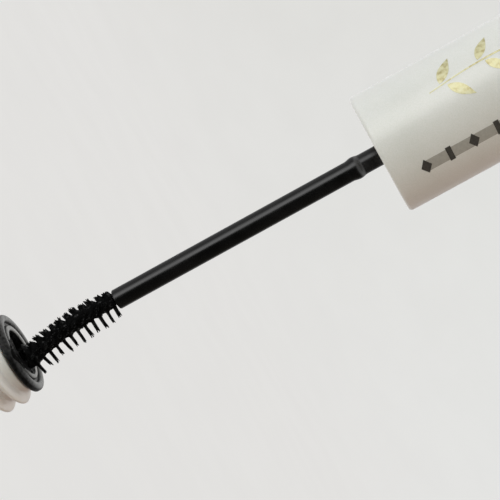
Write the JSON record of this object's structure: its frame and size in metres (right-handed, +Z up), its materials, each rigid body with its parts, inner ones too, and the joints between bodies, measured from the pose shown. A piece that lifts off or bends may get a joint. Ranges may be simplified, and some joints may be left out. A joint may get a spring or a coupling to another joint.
{
  "type": "mascara tube",
  "caption": "Round white mascara tube shown open: screw cap, black stem and twisted-wire brush drawn up from a threaded bottle with a rubber wiper.",
  "frame": {"origin": "centre of the bottle's base, on the surface that it stands on", "axes": "+Z up the tube's axis from the bottle's base to the cap's top; +X is the side that the brush is bent towards"},
  "size_m": [0.019, 0.019, 0.2048],
  "materials": {
    "pearl_shell": "pearly white, satin gloss",
    "white_plastic": "milky white moulded plastic",
    "black_plastic": "glossy black moulded plastic",
    "wiper_rubber": "smooth black rubber",
    "mascara": "wet black cream",
    "steel_wire": "drawn steel wire",
    "bristle": "black nylon fibre coated with mascara",
    "foam": "closed-cell foam",
    "label": "plain paper sticker",
    "gold_foil": "hot-stamped gold foil",
    "grey_print": "screen-printed dark grey ink"
  },
  "bodies": {
    "bottle": {"bottle_sleeve": "pearl_shell", "base_label": "label", "bottle_vial": "white_plastic", "mascara_fill": "mascara", "wiper": "wiper_rubber"},
    "washer": {"sealing_washer": "foam"},
    "wand": {"cap_shell": "pearl_shell", "inner_cap": "white_plastic", "wand_stem": "black_plastic", "brush_wire": "steel_wire", "brush_bristles": "bristle"}
  },
  "joints": [
    {"name": "wand_slide", "type": "slide", "parent": "bottle", "child": "washer", "axis": [0, 0, 1], "range_m": [-0.0752, 0.03], "deforming": ["brush_wire", "brush_bristles"]},
    {"name": "wand_turn", "type": "hinge", "parent": "washer", "child": "wand", "pos_m": [0, 0, 0.1528], "axis": [0, 0, 1], "range_deg": [-720, 0]}
  ]
}
